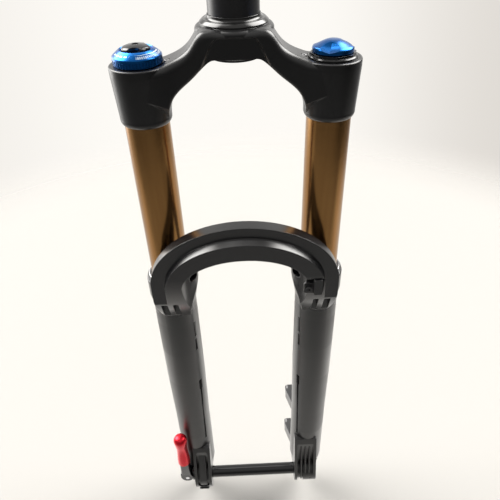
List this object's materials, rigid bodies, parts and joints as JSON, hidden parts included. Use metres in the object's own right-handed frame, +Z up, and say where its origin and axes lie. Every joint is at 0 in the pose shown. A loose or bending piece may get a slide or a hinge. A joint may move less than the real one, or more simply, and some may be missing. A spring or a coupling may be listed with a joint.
{
  "type": "suspension_fork",
  "caption": "Air-sprung mountain bike suspension fork with gold stanchions, black one-piece lowers, tapered steerer and a quick-release through axle",
  "frame": {"origin": "centre of the crown race seat, on the steerer axis, at the face the bearing race rests on", "axes": "+Z up along the steerer, +Y to the rear of the bicycle, +X to the rider's left seen from the front (brake side)"},
  "size_m": [0.1938, 0.0985, 0.8306],
  "materials": {
    "satin_black_crown": "satin black anodised",
    "satin_black_lowers": "satin black painted",
    "black_steerer": "satin",
    "gold_tube": "polished",
    "blue_anodised": "satin",
    "black_anodised": "gloss",
    "bare_aluminium": "satin",
    "steel": "brushed",
    "red_sleeve": "gloss",
    "black_rubber": "matte",
    "black_plastic": "matte",
    "brass": "polished",
    "foam": "matte"
  },
  "bodies": {
    "uppers": {"steerer_tube": "black_steerer", "crown": "satin_black_crown", "damper_upper_tube": "gold_tube", "air_upper_tube": "gold_tube", "damper_top_cap": "black_anodised", "air_top_cap": "black_anodised", "top_cap_o_rings": "black_rubber", "crown_screws": "steel", "dial_detent_balls": "steel", "damper_cartridge": "bare_aluminium", "cartridge_seal_head": "black_anodised", "base_valve": "bare_aluminium", "base_valve_shims": "steel", "damper_bladder": "black_rubber", "volume_spacers": "black_plastic", "air_seal_head": "black_anodised", "air_seal_ring": "steel", "seal_head_o_rings": "black_rubber"},
    "lowers": {"lower_casting": "satin_black_lowers", "damper_dust_wiper": "black_rubber", "air_dust_wiper": "black_rubber", "wiper_springs": "steel", "foam_rings": "foam", "upper_bushings": "black_plastic", "lower_bushings": "black_plastic", "damper_shaft": "bare_aluminium", "rebound_piston": "bare_aluminium", "piston_band": "black_plastic", "rebound_shims": "steel", "air_shaft": "bare_aluminium", "air_piston": "bare_aluminium", "air_piston_seals": "black_rubber", "top_out_bumpers": "black_rubber", "bottom_out_bumpers": "black_rubber", "crush_washers": "steel", "foot_nuts": "black_anodised", "dropout_washer": "steel", "axle_nut": "black_anodised", "axle_nut_screw": "steel", "hose_guide": "black_plastic", "hose_guide_screw": "steel"},
    "mode_dial": {"compression_dial": "blue_anodised"},
    "speed_knob": {"low_speed_knob": "black_anodised", "knob_screw": "steel"},
    "rebound_adjuster": {"rebound_knob": "bare_aluminium", "rebound_rod": "bare_aluminium"},
    "air_cover": {"air_cap": "blue_anodised"},
    "valve_core": {"valve_pin": "brass"},
    "through_axle": {"axle_shaft": "black_anodised", "cam_pivot_pin": "steel"},
    "thrust_collar": {"axle_collar": "black_anodised"},
    "lever": {"cam_lever": "black_anodised", "lever_sleeve": "red_sleeve"}
  },
  "joints": [
    {"name": "suspension_travel", "type": "slide", "parent": "uppers", "child": "lowers", "axis": [0, 0, 1], "range_m": [0, 0.15], "stiffness_N_per_m": 10000},
    {"name": "mode_dial_turn", "type": "hinge", "parent": "uppers", "child": "mode_dial", "pos_m": [-0.0725, -0.0224, -0.013], "axis": [0, 0, 1], "range_deg": [-90, 0]},
    {"name": "low_speed_knob_turn", "type": "hinge", "parent": "uppers", "child": "speed_knob", "pos_m": [-0.0725, -0.0224, -0.008], "axis": [0, 0, 1], "range_deg": [0, 330]},
    {"name": "rebound_knob_turn", "type": "hinge", "parent": "lowers", "child": "rebound_adjuster", "pos_m": [-0.0725, -0.0224, -0.6049], "axis": [0, 0, 1], "range_deg": [0, 300]},
    {"name": "air_cap_lift", "type": "slide", "parent": "uppers", "child": "air_cover", "axis": [0, 0, 1], "range_m": [0, 0.03]},
    {"name": "valve_pin_press", "type": "slide", "parent": "uppers", "child": "valve_core", "axis": [0, 0, -1], "range_m": [0, 0.0006], "stiffness_N_per_m": 300},
    {"name": "axle_withdrawal", "type": "slide", "parent": "lowers", "child": "thrust_collar", "axis": [-1, 0, 0], "range_m": [0, 0.145]},
    {"name": "through_axle_turn", "type": "hinge", "parent": "thrust_collar", "child": "through_axle", "pos_m": [0, -0.044, -0.5573], "axis": [1, 0, 0], "range_deg": [0, 180]},
    {"name": "lever_swing", "type": "hinge", "parent": "through_axle", "child": "lever", "pos_m": [-0.0882, -0.044, -0.5573], "axis": [0, -1, 0], "range_deg": [0, 95]}
  ]
}
